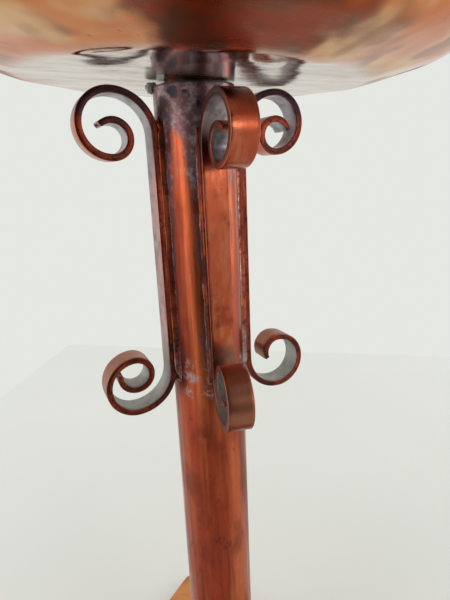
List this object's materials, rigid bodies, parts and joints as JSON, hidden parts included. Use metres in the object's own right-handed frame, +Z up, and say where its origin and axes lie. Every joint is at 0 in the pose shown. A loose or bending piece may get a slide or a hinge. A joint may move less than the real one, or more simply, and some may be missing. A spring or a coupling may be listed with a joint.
{
  "type": "fire pit with grate",
  "caption": "Pedestal fire pit: a round copper bowl with a lift-off steel grate, on a tube column with scrolled straps and a square base plate.",
  "frame": {"origin": "on the floor, under the column's axis, at the centre of the four feet", "axes": "+Z up along the column; the scrolled straps stand near the X and Y axes, and the base plate's sides are turned 38 degrees from them; -Y is the front"},
  "size_m": [0.426, 0.426, 0.5858],
  "materials": {
    "bowl_copper": "polished copper sheet, slightly wavy",
    "rim_copper": "polished copper rod",
    "tube_copper": "copper with a red-brown patina",
    "strap_copper": "copper flat bar, polished outside and heat-stained",
    "base_copper": "copper plate, golden heat-stained",
    "fitting_copper": "turned copper",
    "solder": "grey solder with flux residue",
    "stainless": "stainless steel",
    "grate_steel": "heat-darkened steel",
    "handle_steel": "heat-darkened steel"
  },
  "bodies": {
    "stand": {"base_bolt": "stainless", "base_foot_back": "base_copper", "base_foot_front": "base_copper", "base_foot_left": "base_copper", "base_foot_right": "base_copper", "base_plate": "base_copper", "base_plug": "fitting_copper", "base_solder": "solder", "bowl": "bowl_copper", "bowl_bolt": "stainless", "bowl_solder_tacks": "solder", "bowl_washer": "fitting_copper", "column_tube": "tube_copper", "rim_ring": "rim_copper", "scroll_strap_back": "strap_copper", "scroll_strap_front": "strap_copper", "scroll_strap_left": "strap_copper", "scroll_strap_right": "strap_copper", "solder_seam_back": "solder", "solder_seam_front": "solder", "solder_seam_left": "solder", "solder_seam_right": "solder", "top_plug": "fitting_copper"},
    "grate": {"grate_bar_01": "grate_steel", "grate_bar_02": "grate_steel", "grate_bar_03": "grate_steel", "grate_bar_04": "grate_steel", "grate_bar_05": "grate_steel", "grate_bar_06": "grate_steel", "grate_bar_07": "grate_steel", "grate_bar_08": "grate_steel", "grate_bar_09": "grate_steel", "grate_bar_10": "grate_steel", "grate_bar_11": "grate_steel", "grate_ring": "grate_steel", "grate_tie_left": "grate_steel", "grate_tie_right": "grate_steel", "handle_lug_left_back": "grate_steel", "handle_lug_left_front": "grate_steel", "handle_lug_right_back": "grate_steel", "handle_lug_right_front": "grate_steel"},
    "handle_left": {"grate_handle_left": "handle_steel"},
    "handle_right": {"grate_handle_right": "handle_steel"}
  },
  "joints": [
    {"name": "grate_lift", "type": "slide", "parent": "stand", "child": "grate", "axis": [0, 0, 1], "range_m": [0, 0.15]},
    {"name": "left_handle_turn", "type": "hinge", "parent": "grate", "child": "handle_left", "pos_m": [-0.14974, 0, 0.55538], "axis": [0, -1, 0], "range_deg": [0, 140]},
    {"name": "right_handle_turn", "type": "hinge", "parent": "grate", "child": "handle_right", "pos_m": [0.14974, 0, 0.55538], "axis": [0, 1, 0], "range_deg": [0, 140]}
  ]
}
